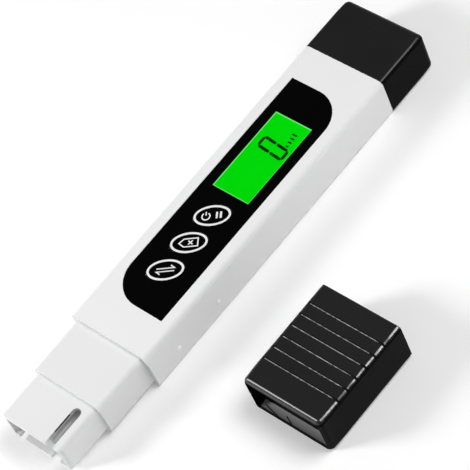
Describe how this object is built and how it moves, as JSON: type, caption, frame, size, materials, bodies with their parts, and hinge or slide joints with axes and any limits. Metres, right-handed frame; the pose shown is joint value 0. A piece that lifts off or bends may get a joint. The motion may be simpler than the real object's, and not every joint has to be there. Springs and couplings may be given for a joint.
{
  "type": "water conductivity meter",
  "caption": "Pen-shaped water meter with a slotted probe end, lit display, oval keys, pull-off battery cap and a loose grooved probe cap.",
  "frame": {"origin": "middle of the sleeve's flat back face, on which the meter lies", "axes": "+X along the meter towards the battery cap, the probe end at -X; +Z out of the front face with display and keys; the loose probe cap lies on the -Y side"},
  "size_m": [0.1746, 0.0928, 0.016],
  "materials": {
    "white_plastic": "fine satin moulding",
    "probe_white_plastic": "fine satin moulding",
    "frame_plastic": "plain moulding",
    "black_film": "smooth printed film",
    "clear_acrylic": "polished",
    "lit_glass": "lit display",
    "holder_plastic": "plain moulding",
    "light_guide": "frosted",
    "led_resin": "cast resin",
    "contact_rubber": "soft",
    "board_laminate": "solder mask",
    "chip_resin": "moulded resin",
    "component_ceramic": "ceramic",
    "plated_metal": "bright plating",
    "switch_plastic": "plain moulding",
    "plunger_plastic": "plain moulding",
    "key_film": "smooth printed film",
    "electrode_metal": "fine turned",
    "sensor_steel": "drawn tube",
    "potting_resin": "cast resin",
    "spring_brass": "rolled strip",
    "cell_steel": "drawn steel can",
    "black_plastic": "smooth moulding"
  },
  "bodies": {
    "meter": {"body_sleeve": "white_plastic", "graphic_overlay": "black_film", "display_window": "clear_acrylic", "lcd_glass": "lit_glass", "lcd_bezel": "holder_plastic", "backlight_guide": "light_guide", "backlight_leds": "led_resin", "zebra_strips": "contact_rubber", "circuit_board": "board_laminate", "controller_chip": "chip_resin", "crystal": "plated_metal", "board_components": "component_ceramic", "board_screws": "plated_metal", "tact_switches": "switch_plastic", "inner_frame": "frame_plastic", "probe_base": "probe_white_plastic", "electrodes": "electrode_metal", "temperature_sensor": "sensor_steel", "probe_potting": "potting_resin", "sensor_leads": "spring_brass", "left_cell": "cell_steel", "right_cell": "cell_steel", "positive_contact": "spring_brass", "negative_contact": "spring_brass", "bridge_contact": "spring_brass"},
    "mode_key": {"mode_key": "key_film", "mode_plunger": "plunger_plastic"},
    "clear_key": {"clear_key": "key_film", "clear_plunger": "plunger_plastic"},
    "power_key": {"power_key": "key_film", "power_plunger": "plunger_plastic"},
    "battery_cap": {"battery_cap": "black_plastic"},
    "probe_cap": {"probe_cap": "black_plastic"}
  },
  "joints": [
    {"name": "mode_key_press", "type": "slide", "parent": "meter", "child": "mode_key", "axis": [0, 0, -1], "range_m": [0, 0.0003], "stiffness_N_per_m": 400, "springref_m": -0.0002},
    {"name": "clear_key_press", "type": "slide", "parent": "meter", "child": "clear_key", "axis": [0, 0, -1], "range_m": [0, 0.0003], "stiffness_N_per_m": 400, "springref_m": -0.0002},
    {"name": "power_key_press", "type": "slide", "parent": "meter", "child": "power_key", "axis": [0, 0, -1], "range_m": [0, 0.0003], "stiffness_N_per_m": 400, "springref_m": -0.0002},
    {"name": "battery_cap_pull", "type": "slide", "parent": "meter", "child": "battery_cap", "axis": [1, 0, 0], "range_m": [0, 0.022]},
    {"name": "probe_cap_lift_off", "type": "slide", "parent": "meter", "child": "probe_cap", "axis": [1, 0, 0], "range_m": [0, 0.04]}
  ]
}
